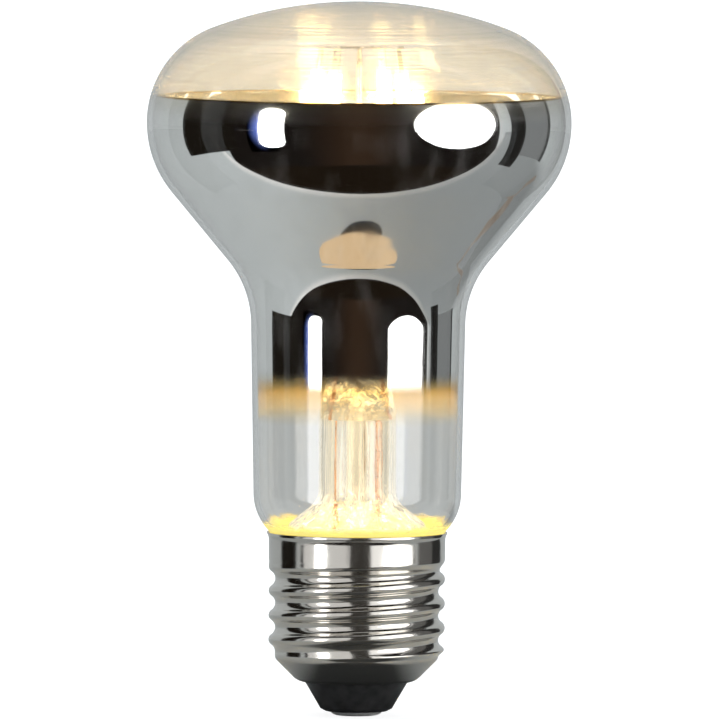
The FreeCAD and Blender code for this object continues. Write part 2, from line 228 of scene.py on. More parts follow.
def arcTo(bm, last, centre, angle, stepDegrees):
    steps = max(3, math.ceil(abs(math.degrees(angle)) / stepDegrees))
    made = bmesh.ops.spin(
        bm, geom=[last], cent=(centre[0], 0, centre[1]), axis=(0, -1, 0), dvec=(0, 0, 0),
        angle=angle, steps=steps, use_merge=False, use_normal_flip=False, use_duplicate=False)
    return [v for v in made["geom_last"] if isinstance(v, bmesh.types.BMVert)][0]


def roundAt(bm, last, before, here, after, radius, stepDegrees):
    # the line reaches the round, turns by the corner's angle and leaves it level with the next side
    back = (Vector(before) - Vector(here)).normalized()
    on = (Vector(after) - Vector(here)).normalized()
    half = back.angle(on) / 2
    start = Vector(here) + back * (radius / math.tan(half))
    centre = Vector(here) + (back + on).normalized() * (radius / math.sin(half))
    last = lineTo(bm, last, start)
    turn = math.pi - 2 * half
    side = back.x * on.y - back.y * on.x
    return arcTo(bm, last, centre, -turn if side > 0 else turn, stepDegrees)


def drawCorners(bm, last, corners, stepDegrees):
    # corners are (radius, height, round); the first is where the line already is
    for before, here, after in zip(corners, corners[1:], corners[2:]):
        if here[2] > 0:
            last = roundAt(bm, last, before[:2], here[:2], after[:2], here[2], stepDegrees)
        else:
            last = lineTo(bm, last, here[:2])
    return lineTo(bm, last, corners[-1][:2])


def spinLine(bm, steps):
    bmesh.ops.spin(
        bm, geom=bm.verts[:] + bm.edges[:], cent=(0, 0, 0), axis=(0, 0, 1), dvec=(0, 0, 0),
        angle=fullTurn, steps=steps, use_merge=True, use_normal_flip=False, use_duplicate=False)
    bmesh.ops.remove_doubles(bm, verts=bm.verts[:], dist=onePoint)
    bmesh.ops.recalc_face_normals(bm, faces=bm.faces[:])


def finishPiece(bm, name, material, replaced, sharpDegrees=35):
    mesh = bpy.data.meshes.new(name)
    bm.to_mesh(mesh)
    bm.free()
    for face in mesh.polygons:
        face.use_smooth = True
    mesh.set_sharp_from_angle(angle=math.radians(sharpDegrees))
    mesh.materials.append(material)
    piece = bpy.data.objects.new(name, mesh)
    bpy.context.scene.collection.objects.link(piece)
    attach(piece, "root")
    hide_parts(*replaced)
    return piece


print("tools ready")


# the glass bulb: its outline is the CAD model's, from the crown down to the seal on the stem

bulb = {
    "radius": 31.5 * mm,
    "widest": 88.0 * mm,
    "crownTop": 106.0 * mm,
    "crownRadius": 62.0 * mm,
    "corners": [
        (31.5 * mm, 88.0 * mm, 0),
        (31.5 * mm, 82.15 * mm, 16.2 * mm),
        (16.0 * mm, 63.5 * mm, 15.0 * mm),
        (15.35 * mm, 29.1 * mm, 8.0 * mm),
        (11.2 * mm, 25.8 * mm, 0.8 * mm),
        (11.2 * mm, 24.6 * mm, 0),
    ],
    "wall": 0.8 * mm,
    "steps": 192,
    "crownStep": 0.8,
    "bendStep": 1.5,
    "glassTint": (1.0, 0.99, 0.97, 1),
    "shine": 1.47,
    "hazeTint": (1.0, 0.91, 0.68, 1),
    "hazeRoughness": 0.3,
    "hazeShare": 0.12,
    "hazeFrom": 90.5 * mm,
    "hazeFade": 4 * mm,
    "ringRoughness": 0.06,
    "ringShare": 0.08,
    "ringScale": 1400.0,
    "ringDepth": 0.2 * mm,
    # pale hairlines over the crown are painted glints of the lights along the rings
    "paintedRingGlintShare": 0.15,
    "paintedRingGlintScale": 2300.0,
    "paintedRingGlintSpread": (0.62, 0.67),
    "breakScale": 70.0,
    "breakSpread": (0.52, 0.62),
    # one pale colour for the dust and for the painted glints
    "dustAndGlintColour": (0.9, 0.89, 0.87, 1),
    "dustSpread": (0.52, 0.74),
    "dustStretch": (1, 1, 0.35),
    "dustShare": 0.03,
    "dustScale": 240.0,
    "pasteTop": 28.8 * mm,
    "pasteColour": (0.92, 0.78, 0.16, 1),
    # the cement's glow is painted light from the lit filaments
    "pastePaintedGlow": (1.0, 0.92, 0.34, 1),
    "pastePaintedGlowStrength": 0.5,
    "pasteRoughness": 0.7,
    "pasteScale": 420.0,
    "pasteGrain": 0.1 * mm,
    "pasteWander": 1.6 * mm,
    "pasteEdge": (-0.3 * mm, 0.9 * mm),
}
film = {
    "gap": 0.02 * mm,
    "thickness": 0.1 * mm,
    "top": 92.1 * mm,
    "foot": 43.6 * mm,
    "mirrorFrom": 48.4 * mm,
    "mirrorFull": 52.0 * mm,
    "tints": [
        (43.6 * mm, (1.0, 1.0, 1.0, 1)),
        (45.5 * mm, (1.0, 0.96, 0.87, 1)),
        (49.0 * mm, (0.96, 0.86, 0.64, 1)),
        (51.5 * mm, (0.75, 0.6, 0.4, 1)),
    ],
    "bloomColour": (0.95, 0.9, 0.74, 1),
    "bloomShare": 0.17,
    "bloomAt": 46.2 * mm,
    "bloomWidth": 2.8 * mm,
    "bloomRoughness": 0.6,
    "edgeGold": (0.5, 0.34, 0.1, 1),
    "edgeWidth": 0.35 * mm,
    "silver": (0.9, 0.92, 0.93, 1),
    "roughness": (0.015, 0.05),
    "grainScale": 260.0,
    "innerShare": 0.06,
    "innerColour": (0.95, 0.9, 0.78, 1),
    "innerRoughness": 0.7,
    "ripple": 0.13 * mm,
    "rippleScale": 75.0,
    "steps": 192,
}


def offsetCorners(corners, inset):
    # every side moves inwards by the inset and the corners are found again where they cross
    moved = []
    for place, corner in enumerate(corners):
        sides = []
        for first, second in ((place - 1, place), (place, place + 1)):
            if first < 0 or second >= len(corners):
                continue
            along = Vector(corners[second][:2]) - Vector(corners[first][:2])
            inwards = Vector((along.y, -along.x)).normalized() * inset
            sides.append((inwards, along.normalized()))
        here = Vector(corner[:2])
        if len(sides) == 1 or abs(sides[0][1].cross(sides[1][1])) < inLine:
            new = here + sides[0][0]
        else:
            (pushA, alongA), (pushB, alongB) = sides
            reach = (pushB - pushA).cross(alongB) / alongA.cross(alongB)
            new = here + pushA + alongA * reach
        bend = 0
        if corner[2] > 0:
            turned = sides[0][1].cross(sides[1][1])
            bend = max(corner[2] + (inset if turned > 0 else -inset), 0)
        moved.append((new.x, new.y, bend))
    return moved


def drawBulb(bm, inset, last=None):
    # crown, shoulder, belly, cone, neck and seal, each inset from the outer face
    below = bulb["crownRadius"] - (bulb["crownTop"] - bulb["widest"])
    crownCentre = Vector((0, bulb["crownTop"] - bulb["crownRadius"]))
    shoulder = bulb["crownRadius"] ** 2 - bulb["radius"] ** 2 - below ** 2
    shoulder = shoulder / (2 * (bulb["crownRadius"] - bulb["radius"]))
    shoulderCentre = Vector((bulb["radius"] - shoulder, bulb["widest"]))
    across = shoulderCentre - crownCentre
    meet = math.atan2(across.y, across.x)
    start = (0, bulb["crownTop"] - inset)
    last = lineTo(bm, last, start) if last else startLine(bm, start)
    last = arcTo(bm, last, crownCentre, meet - math.pi / 2, bulb["crownStep"])
    last = arcTo(bm, last, shoulderCentre, -meet, bulb["bendStep"])
    return drawCorners(bm, last, offsetCorners(bulb["corners"], inset), bulb["bendStep"])


def makeGlass(material):
    bm = bmesh.new()
    outerEnd = drawBulb(bm, 0)
    innerEnd = drawBulb(bm, bulb["wall"])
    bm.edges.new((outerEnd, innerEnd))
    spinLine(bm, bulb["steps"])
    return finishPiece(bm, "glassBulb", material, ["glass_envelope"])


def makeFilm(material, innerMaterial):
    bm = bmesh.new()
    outer = bulb["wall"] + film["gap"]
    for inset in (outer, outer + film["thickness"]):
        drawBulb(bm, inset)
    for height, side in ((film["top"], 1), (film["foot"], -1)):
        bmesh.ops.bisect_plane(
            bm, geom=bm.verts[:] + bm.edges[:], dist=onPlane, plane_co=(0, 0, height),
            plane_no=(0, 0, side), clear_outer=True)
    for height in (film["top"], film["foot"]):
        ends = [v for v in bm.verts if abs(v.co.z - height) < onePoint and len(v.link_edges) == 1]
        bm.edges.new(ends)
    spinLine(bm, film["steps"])
    for face in bm.faces:
        middle = face.calc_center_median()
        outwards = face.normal.x * middle.x + face.normal.y * middle.y
        face.material_index = 0 if outwards > 0 else 1
    piece = finishPiece(bm, "mirrorFilm", material, ["mirror_lining"])
    piece.data.materials.append(innerMaterial)
    return piece


def glassShader(material, tint, roughness, shine):
    return addNode(material, "ShaderNodeBsdfPrincipled", inputs={
        "Base Color": tint, "Transmission Weight": 1.0, "Roughness": roughness, "IOR": shine})


def mixShaders(material, share, first, second):
    mix = addNode(material, "ShaderNodeMixShader")
    feedSocket(material, share, mix.inputs["Fac"])
    joinSockets(material, first, mix.inputs[1])
    joinSockets(material, second, mix.inputs[2])
    return mix.outputs["Shader"]


def letLightIn(material, shader, tint):
    # light passes to the pieces inside, so that they aren't left in the dark
    light = addNode(material, "ShaderNodeLightPath")
    clear = addNode(material, "ShaderNodeBsdfTransparent", inputs={"Color": tint})
    showSurface(material, mixShaders(material, light.outputs["Is Shadow Ray"], shader, clear.outputs["BSDF"]))


def heightShare(material, low, high):
    # 0 below the low height, 1 above the high one
    return rangeNode(material, objectParts(material)["Z"], (low, high), smooth=True)


def ringNoise(material, scale):
    # faint rings round the axis, as wiping leaves them: they draw each light out into a streak
    flat = addNode(material, "ShaderNodeMapping", inputs={"Scale": (1, 1, 0)})
    joinSockets(material, objectPlace(material), flat.inputs["Vector"])
    noise = addNode(
        material, "ShaderNodeTexNoise", {"noise_dimensions": "1D"}, {"Scale": scale, "Detail": 3.0})
    joinSockets(material, lengthOf(material, flat.outputs["Vector"]), noise.inputs["W"])
    return noise.outputs["Fac"]


def hazyGlass(material, look, clear, inCrown):
    # a haze over the crown, and rings that draw the lit strips upwards
    haze = glassShader(material, look["hazeTint"], look["hazeRoughness"], look["shine"]).outputs["BSDF"]
    hazy = mathNode(material, "MULTIPLY", inCrown, look["hazeShare"])
    glass = mixShaders(material, hazy, clear, haze)
    ringed = glassShader(material, look["hazeTint"], look["ringRoughness"], look["shine"])
    relief = bumpNode(material, ringNoise(material, look["ringScale"]), look["ringDepth"])
    joinSockets(material, relief, ringed.inputs["Normal"])
    streaky = mathNode(material, "MULTIPLY", inCrown, look["ringShare"])
    return mixShaders(material, streaky, glass, ringed.outputs["BSDF"])


def wornGlass(material, look, glass, inCrown):
    # short pale hairlines along some of the rings, painted glints that stand in for the lights' reflections,
    # and a little dust
    dustAndGlints = addNode(material, "ShaderNodeBsdfDiffuse", inputs={"Color": look["dustAndGlintColour"]}).outputs["BSDF"]
    line = rangeNode(material, ringNoise(material, look["paintedRingGlintScale"]), look["paintedRingGlintSpread"])
    breaks = addNoise(material, look["breakScale"], detail=2.0).outputs["Fac"]
    broken = rangeNode(material, breaks, look["breakSpread"], (0.0, look["paintedRingGlintShare"]))
    lines = mathNode(material, "MULTIPLY", line, broken)
    glass = mixShaders(material, mathNode(material, "MULTIPLY", lines, inCrown), glass, dustAndGlints)
    specks = addNoise(material, look["dustScale"], detail=8.0, stretch=look["dustStretch"]).outputs["Fac"]
    settled = rangeNode(material, specks, look["dustSpread"], (0.0, look["dustShare"]))
    return mixShaders(material, settled, glass, dustAndGlints)


def pasteShader(material, look, noise):
    # the cement's emission is a painted glow of the lit filaments' light falling on it
    paste = addNode(material, "ShaderNodeBsdfPrincipled", inputs={
        "Base Color": look["pasteColour"], "Roughness": look["pasteRoughness"],
        "Emission Color": look["pastePaintedGlow"], "Emission Strength": look["pastePaintedGlowStrength"]})
    joinSockets(material, bumpNode(material, noise, look["pasteGrain"]), paste.inputs["Normal"])
    return paste.outputs["BSDF"]


def bulbFinish(look):
    # clear glass, hazy and worn over the crown, where pale hairlines are painted glints, with cement dried on
    # the inside of the foot that glows with painted light from the lit filaments
    material = newFinish("bulbGlass", {
        "Base Color": look["glassTint"], "Transmission Weight": 1.0, "Roughness": 0.0, "IOR": look["shine"]})
    halfFade = look["hazeFade"] / 2
    inCrown = heightShare(material, look["hazeFrom"] - halfFade, look["hazeFrom"] + halfFade)
    glass = hazyGlass(material, look, shaderOf(material).outputs["BSDF"], inCrown)
    glass = wornGlass(material, look, glass, inCrown)
    noise = addNoise(material, look["pasteScale"], detail=5.0).outputs["Fac"]
    wander = mathNode(material, "MULTIPLY", noise, look["pasteWander"])
    height = mathNode(material, "ADD", objectParts(material)["Z"], wander)
    low, high = look["pasteEdge"]
    above = rangeNode(material, height, (look["pasteTop"] + low, look["pasteTop"] + high))
    whole = mixShaders(material, above, pasteShader(material, look, noise), glass)
    letLightIn(material, whole, look["glassTint"])
    return material


def filmTints(material, look):
    # from the foot's clear to the golden brown where the silver begins
    low, high = look["tints"][0][0], look["tints"][-1][0]
    ramp = addNode(material, "ShaderNodeValToRGB")
    for place, (height, colour) in enumerate(look["tints"]):
        share = (height - low) / (high - low)
        stop = ramp.color_ramp.elements[0] if place == 0 else ramp.color_ramp.elements.new(share)
        stop.position = share
        stop.color = colour
    ramp.color_ramp.elements.remove(ramp.color_ramp.elements[-1])
    along = rangeNode(material, objectParts(material)["Z"], (low, high))
    joinSockets(material, along, ramp.inputs["Fac"])
    return ramp.outputs["Color"]


def filmFinish(name, look, matt):
    # silver that thins out towards its foot, where it is first golden and then clear
    material = newFinish(name, {"Base Color": look["silver"], "Metallic": 1.0})
    varyRoughness(material, addNoise(material, look["grainScale"], detail=3.0), *look["roughness"])
    raiseGrain(material, addNoise(material, look["rippleScale"], detail=1.5), look["ripple"])
    thin = addNode(material, "ShaderNodeBsdfTransparent")
    joinSockets(material, filmTints(material, look), thin.inputs["Color"])
    bloom = addNode(material, "ShaderNodeBsdfPrincipled", inputs={
        "Base Color": look["bloomColour"], "Roughness": look["bloomRoughness"]})
    below = heightShare(material, look["bloomAt"] - look["bloomWidth"], look["bloomAt"])
    above = heightShare(material, look["bloomAt"], look["bloomAt"] + look["bloomWidth"])
    hump = mathNode(material, "MULTIPLY", mathNode(material, "SUBTRACT", below, above), look["bloomShare"])
    bloomed = mixShaders(material, hump, thin.outputs["BSDF"], bloom.outputs["BSDF"])
    atEdge = heightShare(material, look["top"] - look["edgeWidth"], look["top"] - 0.5 * look["edgeWidth"])
    golden = mixNode(material, "RGBA", atEdge, look["silver"], look["edgeGold"])
    joinSockets(material, golden, shaderOf(material).inputs["Base Color"])
    cover = heightShare(material, look["mirrorFrom"], look["mirrorFull"])
    silver = shaderOf(material).outputs["BSDF"]
    if matt > 0:
        soft = addNode(material, "ShaderNodeBsdfPrincipled", inputs={
            "Base Color": look["innerColour"], "Roughness": look["innerRoughness"]})
        silver = mixShaders(material, matt, silver, soft.outputs["BSDF"])
    showSurface(material, mixShaders(material, cover, bloomed, silver))
    return material


makeGlass(bulbFinish(bulb))
makeFilm(filmFinish("mirrorSilver", film, 0.0), filmFinish("mirrorInside", film, film["innerShare"]))
print("bulb and mirror film made")


# the screw cap: one rolled sheet with a right-hand thread

cap = {
    "radius": 13.1 * mm,
    "depth": 0.97 * mm,
    "pitch": 3.629 * mm,
    "crestShare": 0.42,
    "threadTop": 23.4 * mm,
    "threadFoot": 8.7 * mm,
    "topRunOut": 2.2 * mm,
    "footRunOut": 1.2 * mm,
    "crestAtSide": 20.29 * mm,
    "turns": 7,
    "pitchesBelow": 5.5,
    "weld": 2e-6,
    "stepsPerTurn": 144,
    "arcStep": 9,
    "sharpDegrees": 50,
    "bendSegments": 5,
    "sheet": 0.25 * mm,
    "skirtRows": [
        (13.1 * mm, 25.9 * mm), (13.12 * mm, 26.3 * mm),
        (13.22 * mm, 26.7 * mm), (13.45 * mm, 27.2 * mm)],
    "footCorners": [(12.13 * mm, 8.43 * mm), (8.7 * mm, 5.0 * mm), (7.2 * mm, 5.0 * mm)],
    "footBends": [0.35 * mm, 0.9 * mm],
}


def easeIn(share):
    share = min(max(share, 0), 1)
    return share * share * (3 - 2 * share)


def drawThreadPitch(bm, look, low):
    # half a root, a crest and half a root, each an arc that runs smoothly into the next
    half = look["pitch"] / 2
    both = (half ** 2 + look["depth"] ** 2) / (2 * look["depth"])
    crest = look["crestShare"] * both
    root = both - crest
    lean = math.asin(half / both)
    rootRadius = look["radius"] - look["depth"]
    last = startLine(bm, (rootRadius, low))
    step = look["arcStep"]
    last = arcTo(bm, last, (rootRadius + root, low), -lean, step)
    last = arcTo(bm, last, (look["radius"] - crest, low + half), 2 * lean, step)
    return arcTo(bm, last, (rootRadius + root, low + look["pitch"]), -lean, step)


def rimEdges(bm, height):
    return [e for e in bm.edges if e.is_boundary and all(abs(v.co.z - height) < onePoint for v in e.verts)]


def addRow(bm, edges, radius, height):
    made = bmesh.ops.extrude_edge_only(bm, edges=edges)["geom"]
    verts = [g for g in made if isinstance(g, bmesh.types.BMVert)]
    for vert in verts:
        grow = radius / math.hypot(vert.co.x, vert.co.y)
        vert.co = (vert.co.x * grow, vert.co.y * grow, height)
    return [g for g in made if isinstance(g, bmesh.types.BMEdge)]


def makeCapShell(material):
    look = cap
    bm = bmesh.new()
    turns = look["turns"]
    low = look["crestAtSide"] - look["pitchesBelow"] * look["pitch"]
    drawThreadPitch(bm, look, low)
    steps = turns * look["stepsPerTurn"]
    bmesh.ops.spin(
        bm, geom=bm.verts[:] + bm.edges[:], cent=(0, 0, 0), axis=(0, 0, 1),
        dvec=(0, 0, turns * look["pitch"] / steps), angle=turns * fullTurn, steps=steps,
        use_merge=False, use_normal_flip=False, use_duplicate=False)
    bmesh.ops.remove_doubles(bm, verts=bm.verts[:], dist=look["weld"])
    for vert in bm.verts:
        radius = math.hypot(vert.co.x, vert.co.y)
        depth = (look["radius"] - radius) * easeIn((look["threadTop"] - vert.co.z) / look["topRunOut"])
        inFoot = easeIn((vert.co.z - look["threadFoot"]) / look["footRunOut"])
        depth = look["depth"] + (depth - look["depth"]) * inFoot
        grow = (look["radius"] - depth) / radius
        vert.co.x *= grow
        vert.co.y *= grow
    for height, side in ((look["threadTop"], 1), (look["threadFoot"], -1)):
        bmesh.ops.bisect_plane(
            bm, geom=bm.verts[:] + bm.edges[:] + bm.faces[:], dist=onPlane,
            plane_co=(0, 0, height), plane_no=(0, 0, side), clear_outer=True)
    edges = rimEdges(bm, look["threadTop"])
    for radius, height in look["skirtRows"]:
        edges = addRow(bm, edges, radius, height)
    edges = rimEdges(bm, look["threadFoot"])
    bends = []
    for radius, height in look["footCorners"]:
        edges = addRow(bm, edges, radius, height)
        bends.append(edges)
    for corner, width in zip(bends, look["footBends"]):
        bmesh.ops.bevel(
            bm, geom=corner, offset=width, segments=look["bendSegments"], profile=0.5,
            affect="EDGES", material=-1)
    bmesh.ops.recalc_face_normals(bm, faces=bm.faces[:])
    if sum(f.normal.xy.dot(f.calc_center_median().xy) for f in bm.faces) < 0:
        bmesh.ops.reverse_faces(bm, faces=bm.faces[:])
    piece = finishPiece(bm, "rolledCap", material, ["cap_shell"], look["sharpDegrees"])
    wall = piece.modifiers.new("sheet", "SOLIDIFY")
    wall.thickness = look["sheet"]
    wall.offset = -1
    return piece


capMetal = {
    "bright": (0.74, 0.72, 0.68),
    "worn": (0.6, 0.575, 0.53),
    "dull": (0.5, 0.485, 0.455),
    "dullBelow": 8.6 * mm,
    "roughness": (0.1, 0.17),
    "dullRoughness": 0.26,
    "dullFade": (-0.5 * mm, 0.4 * mm),
    "grainScale": 1100.0,
    "grainStretch": (1, 1, 0.3),
    "grainHeight": 0.006 * mm,
    "stainScale": 160.0,
}


def nickelFinish(look):
    material = newFinish("capNickel", {"Metallic": 1.0})
    noise = addNoise(material, look["grainScale"], detail=5.0, stretch=look["grainStretch"])
    stains = addNoise(material, look["stainScale"]).outputs["Fac"]
    low, high = look["dullFade"]
    above = heightShare(material, look["dullBelow"] + low, look["dullBelow"] + high)
    tone = mixNode(material, "RGBA", stains, (*look["worn"], 1), (*look["bright"], 1))
    colour = mixNode(material, "RGBA", above, (*look["dull"], 1), tone)
    joinSockets(material, colour, shaderOf(material).inputs["Base Color"])
    smooth = rangeNode(material, noise.outputs["Fac"], grain["noiseSpread"], look["roughness"])
    gloss = mixNode(material, "FLOAT", above, look["dullRoughness"], smooth)
    joinSockets(material, gloss, shaderOf(material).inputs["Roughness"])
    raiseGrain(material, noise, look["grainHeight"])
    return material


capShell = makeCapShell(nickelFinish(capMetal))
print("screw cap made")


# finishes of the pieces kept from the CAD model

finishes = {
    "insulatorBlack": [
        {"Base Color": (0.02, 0.02, 0.021, 1)},
        {"scale": 700.0, "roughness": (0.3, 0.44), "height": 0.01 * mm,
         "colours": ((0.022, 0.022, 0.023), (0.05, 0.05, 0.051))},
        ["cap_insulator"]],
    "contactTin": [
        {"Base Color": (0.9, 0.9, 0.89, 1), "Metallic": 0.15},
        {"scale": 900.0, "roughness": (0.35, 0.55), "height": 0.012 * mm,
         "colours": ((0.84, 0.84, 0.83), (0.96, 0.96, 0.95))},
        ["centre_contact", "contact_solder", "shell_solder"]],
    "yellowCement": [
        {"Base Color": (0.9, 0.66, 0.12, 1)},
        {"scale": 520.0, "roughness": (0.75, 0.95), "height": 0.06 * mm,
         "colours": ((0.72, 0.48, 0.07), (0.95, 0.76, 0.2))},
        ["cap_cement"]],
    "copperLead": [
        {"Base Color": (0.75, 0.36, 0.16, 1), "Metallic": 1.0},
        {"scale": 1200.0, "roughness": (0.22, 0.4), "height": 0.005 * mm,
         "colours": ((0.6, 0.26, 0.1), (0.85, 0.46, 0.22))},
        ["lead_wire_right", "lead_wire_left", "shell_wire", "inductor_winding"]],
    "nickelWire": [
        {"Base Color": (0.6, 0.56, 0.5, 1), "Metallic": 1.0},
        {"scale": 1200.0, "roughness": (0.2, 0.38), "height": 0.005 * mm,
         "colours": ((0.46, 0.42, 0.36), (0.68, 0.63, 0.56))},
        ["support_wire", "filament_arm_right", "filament_arm_left", "top_star"]
        + [f"filament_{end}_tab_{index}" for end in ("top", "bottom") for index in range(1, 5)]],
    "boardGreen": [
        {"Base Color": (0.03, 0.16, 0.05, 1)},
        {"scale": 600.0, "roughness": (0.35, 0.55), "height": 0.008 * mm,
         "colours": ((0.02, 0.12, 0.04), (0.05, 0.22, 0.08))},
        ["driver_board"]],
    "partBlack": [
        {"Base Color": (0.02, 0.02, 0.02, 1)},
        {"scale": 800.0, "roughness": (0.45, 0.65), "height": 0.008 * mm,
         "colours": ((0.015, 0.015, 0.016), (0.035, 0.035, 0.035))},
        ["bridge_rectifier", "driver_chip", "smoothing_capacitor", "inductor_core"]],
    "resistorBlue": [
        {"Base Color": (0.1, 0.25, 0.4, 1)},
        {"scale": 700.0, "roughness": (0.35, 0.5), "height": 0.008 * mm,
         "colours": ((0.08, 0.2, 0.34), (0.14, 0.3, 0.46))},
        ["fuse_resistor"]],
}
for name, (settings, look, pieces) in finishes.items():
    made = grainedFinish(name, settings, look)
    for piece in pieces:
        coatNode(piece, made)

stem = {
    "tint": (1.0, 0.97, 0.9, 1),
    "roughness": 0.02,
    "shine": 1.5,
    # the stem's emission is painted light from the lit filaments: a glow, streaks, glints and sparks
    "glow": (1.0, 0.87, 0.62, 1),
    "paintedStreaks": (0.03, 0.19),
    "paintedGlints": (0.0, 0.9),
    "crinkleFrom": 44.5 * mm,
    "flareBelow": 33.0 * mm,
    "flare": 0.015,
    "flareGlints": 0.9,
    "flareFade": 3 * mm,
    "paintedSparkSpread": (0.6, 0.68),
    "paintedStreakSpread": (0.42, 0.62),
    "paintedGlintSpread": (0.5, 0.62),
    "lineScale": 900.0,
    "lineStretch": (1, 1, 0.04),
    "lineDepth": 0.25,
    "crinkleScale": 600.0,
    "crinkleTwist": 1.2,
    "crinkleFade": 2 * mm,
    "crinkleDepth": 0.5 * mm,
}


def stemFinish(look):
    # drawn glass with fine lengthwise lines, crinkled where it was pressed, warm from the lit filaments by
    # painted light: glowing streaks along the lines, glints on the crinkles and sparks at the flared foot
    material = newFinish("stemGlass", {
        "Base Color": look["tint"], "Transmission Weight": 1.0, "Roughness": look["roughness"],
        "IOR": look["shine"], "Emission Color": look["glow"]})
    lines = addNoise(material, look["lineScale"], detail=3.0, stretch=look["lineStretch"]).outputs["Fac"]
    crinkled = addNoise(material, look["crinkleScale"])
    crinkled.inputs["Distortion"].default_value = look["crinkleTwist"]
    crinkles = crinkled.outputs["Fac"]
    pressed = heightShare(material, look["crinkleFrom"], look["crinkleFrom"] + look["crinkleFade"])
    depth = rangeNode(material, pressed, (0.0, 1.0), (look["lineDepth"], 1.0))
    relief = mixNode(material, "FLOAT", pressed, lines, crinkles)
    normal = bumpNode(material, relief, look["crinkleDepth"], depth)
    joinSockets(material, normal, shaderOf(material).inputs["Normal"])
    # painted streaks of glow along the lines and painted glints on the crinkles
    paintedStreaks = rangeNode(material, lines, look["paintedStreakSpread"], look["paintedStreaks"])
    paintedGlints = rangeNode(material, crinkles, look["paintedGlintSpread"], look["paintedGlints"])
    light = mixNode(material, "FLOAT", pressed, paintedStreaks, paintedGlints)
    # painted sparks of light on the flared foot
    low, high = look["flareBelow"] - look["flareFade"], look["flareBelow"] + look["flareFade"]
    foot = mathNode(material, "SUBTRACT", 1.0, heightShare(material, low, high))
    paintedSparks = rangeNode(material, crinkles, look["paintedSparkSpread"], (look["flare"], look["flareGlints"]))
    whole = mathNode(material, "ADD", light, mathNode(material, "MULTIPLY", foot, paintedSparks))
    joinSockets(material, whole, shaderOf(material).inputs["Emission Strength"])
    letLightIn(material, shaderOf(material).outputs["BSDF"], look["tint"])
    return material


stemGlass = stemFinish(stem)
coatNode("stem_glass", stemGlass)
coatNode("exhaust_tube", stemGlass)

# the lit strips shine mostly out of one face: those on the left turn it to the front
filaments = {
    "glow": (1.0, 0.72, 0.34, 1),
    "coat": (1.0, 0.72, 0.2, 1),
    "grain": {
        "scale": 900.0, "roughness": (0.5, 0.7), "height": 0.02 * mm,
        "colours": ((0.9, 0.6, 0.12), (1.0, 0.78, 0.3))},
    "strengths": {"filament_1": 28.0, "filament_2": 28.0, "filament_3": 110.0, "filament_4": 110.0},
}
for name, strength in filaments["strengths"].items():
    coat = grainedFinish(name + "Coat", {"Base Color": filaments["coat"]}, filaments["grain"])
    shaderOf(coat).inputs["Emission Color"].default_value = filaments["glow"]
    shaderOf(coat).inputs["Emission Strength"].default_value = strength
    coatNode(name, coat)
print("finishes given to the kept pieces")


# studio: a pale table with an edge in front of the lamp, a pale surround, dark boards and softboxes

studio = {
    "worldColour": (1, 1, 1, 1),
    "worldBright": 1.0,
    "worldDim": 0.75,
    "surroundGrey": (0.82, 0.81, 0.76, 1),
    "boardSteps": 48,
    "boardWarm": (0.034, 0.019, 0.011, 1),
    "warmReach": 0.75,
    "mottleSpread": (0.35, 0.65),
    "ovalSegments": 64,
    "cornerSegments": 12,
    "groundDark": (0.012, 0.008, 0.005, 1),
    "groundHeight": -0.9,
    "groundReach": 4.0,
}
# painted shade and shadow: darker to the film in front on the right, and to the cap beneath its middle, as
# the lamp's own shadow
table = {
    "grey": (0.6, 0.64, 0.655, 1),
    "bright": (0.95, 0.95, 0.94, 1),
    "edge": -0.05,
    "brightDepth": 0.014,
    "reach": 6.0,
    "roughness": 0.9,
    "shine": 0.1,
    "whiteForCamera": 0.85,
    "shadeAcross": (-0.07, 0.04),
    "shadeBack": (0.02, 0.2),
    "shade": 0.53,
    "paintedShadowNearCap": (0.016, 0.16),
    "capSeesTable": (0.12, 1.0),
    "capSides": (0.007, 0.016),
    "capSideLevel": 0.9,
}
# round walls about the lamp: from and to azimuth, radius, foot, top, colour, and which pieces show them,
# that is the film behind the glass, the cap or all
boards = {
    "frontBoard": (-79, 83.5, 1.3, -0.9, 3.6, (0.01, 0.008, 0.007, 1), "all"),
    "warmBoard": (-38, 38, 1.25, -0.9, 1.2, (0.01, 0.008, 0.007, 1), "glass"),
    "leftBoard": (-108, -69, 0.25, 0.0, 0.9, (0.01, 0.008, 0.006, 1), "glass"),
    "capLeftBoard": (-111, -82, 0.1, 0.0, 0.4, (0.01, 0.008, 0.006, 1), "cap"),
    "capRightGrey": (82, 110, 0.1, 0.0, 0.4, (0.14, 0.14, 0.14, 1), "cap"),
    "capRightDark": (110, 134, 0.1, 0.0, 0.4, (0.03, 0.03, 0.03, 1), "cap"),
    "capMiddle": (-8, 18, 1.2, -0.9, 3.0, (0.05, 0.047, 0.043, 1), "cap"),
    "rightLine": (83.5, 85.5, 1.3, -0.9, 1.6, (0.6, 0.62, 0.63, 1), "glass"),
    "rightBoard": (85.5, 96, 0.17, 0.0, 0.6, (0.008, 0.007, 0.006, 1), "glass"),
    "rightGrey": (96, 121, 0.26, 0.0, 0.6, (0.2, 0.21, 0.215, 1), "glass"),
    "rightEdge": (121, 124, 0.26, 0.0, 0.6, (0.02, 0.02, 0.02, 1), "glass"),
    "paleSurround": (85.5, 281, 1.3, -0.9, 1.6, (0.5, 0.53, 0.54, 1), "all"),
}
